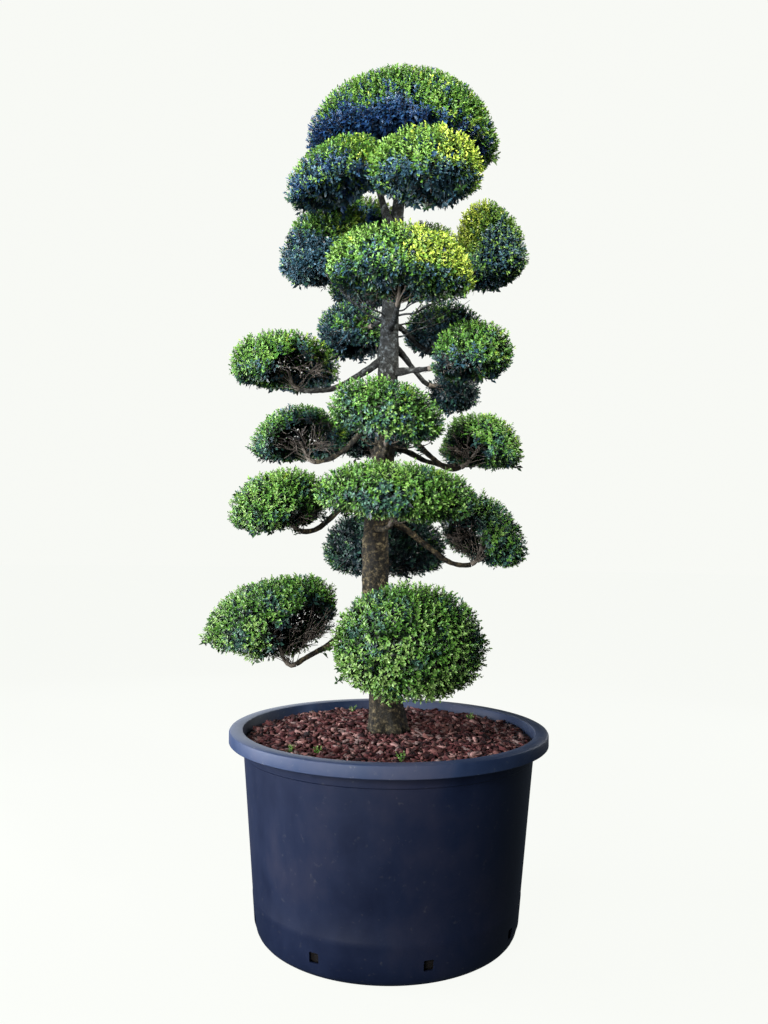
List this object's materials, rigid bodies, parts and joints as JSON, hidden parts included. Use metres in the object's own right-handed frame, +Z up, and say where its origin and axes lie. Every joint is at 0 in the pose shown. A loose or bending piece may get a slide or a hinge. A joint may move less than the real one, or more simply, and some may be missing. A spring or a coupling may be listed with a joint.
{
  "type": "potted cloud pruned topiary",
  "caption": "Cloud pruned small-leaved evergreen: a leaning trunk, curved boughs and clipped pads of foliage in tiers under a broad domed cap, in a round nursery pot.",
  "frame": {"origin": "centre of the pot's flat underside, on the floor it stands on", "axes": "+Z up along the plant; +X to the right and +Y away, seen from the front, the side with the large front pads"},
  "size_m": [0.9706, 0.9579, 2.4477],
  "materials": {
    "pot": "moulded, lightly scuffed",
    "soil": "rough bark chips",
    "bark": "rough, matt",
    "foliage": "leafy, matt"
  },
  "bodies": {
    "root": {"pot": "pot", "soil": "soil", "trunk": "bark", "bough_1_left": "bark", "bough_1_front": "bark", "bough_1_back": "bark", "bough_2_front": "bark", "bough_2_left": "bark", "bough_2_back": "bark", "bough_2_right": "bark", "bough_3_front": "bark", "bough_3_left": "bark", "bough_3_right": "bark", "bough_3_back": "bark", "bough_3_back_right": "bark", "bough_4_left": "bark", "bough_4_right": "bark", "bough_4_low": "bark", "bough_4_back_left": "bark", "bough_4_back_right": "bark", "bough_5_front": "bark", "bough_5_left": "bark", "bough_5_back_left": "bark", "bough_5_right": "bark", "bough_5_back": "bark", "bough_6_left": "bark", "bough_6_front": "bark", "bough_6_back": "bark", "pad_1_left": "foliage", "pad_1_front": "foliage", "pad_1_back": "foliage", "pad_2_front": "foliage", "pad_2_left": "foliage", "pad_2_back": "foliage", "pad_2_right": "foliage", "pad_3_front": "foliage", "pad_3_left": "foliage", "pad_3_right": "foliage", "pad_3_back": "foliage", "pad_3_back_right": "foliage", "pad_4_left": "foliage", "pad_4_right": "foliage", "pad_4_low": "foliage", "pad_4_back_left": "foliage", "pad_4_back_right": "foliage", "pad_5_front": "foliage", "pad_5_left": "foliage", "pad_5_back_left": "foliage", "pad_5_right": "foliage", "pad_5_back": "foliage", "pad_6_left": "foliage", "pad_6_front": "foliage", "pad_6_back": "foliage", "pad_7_cap": "foliage"}
  },
  "joints": []
}
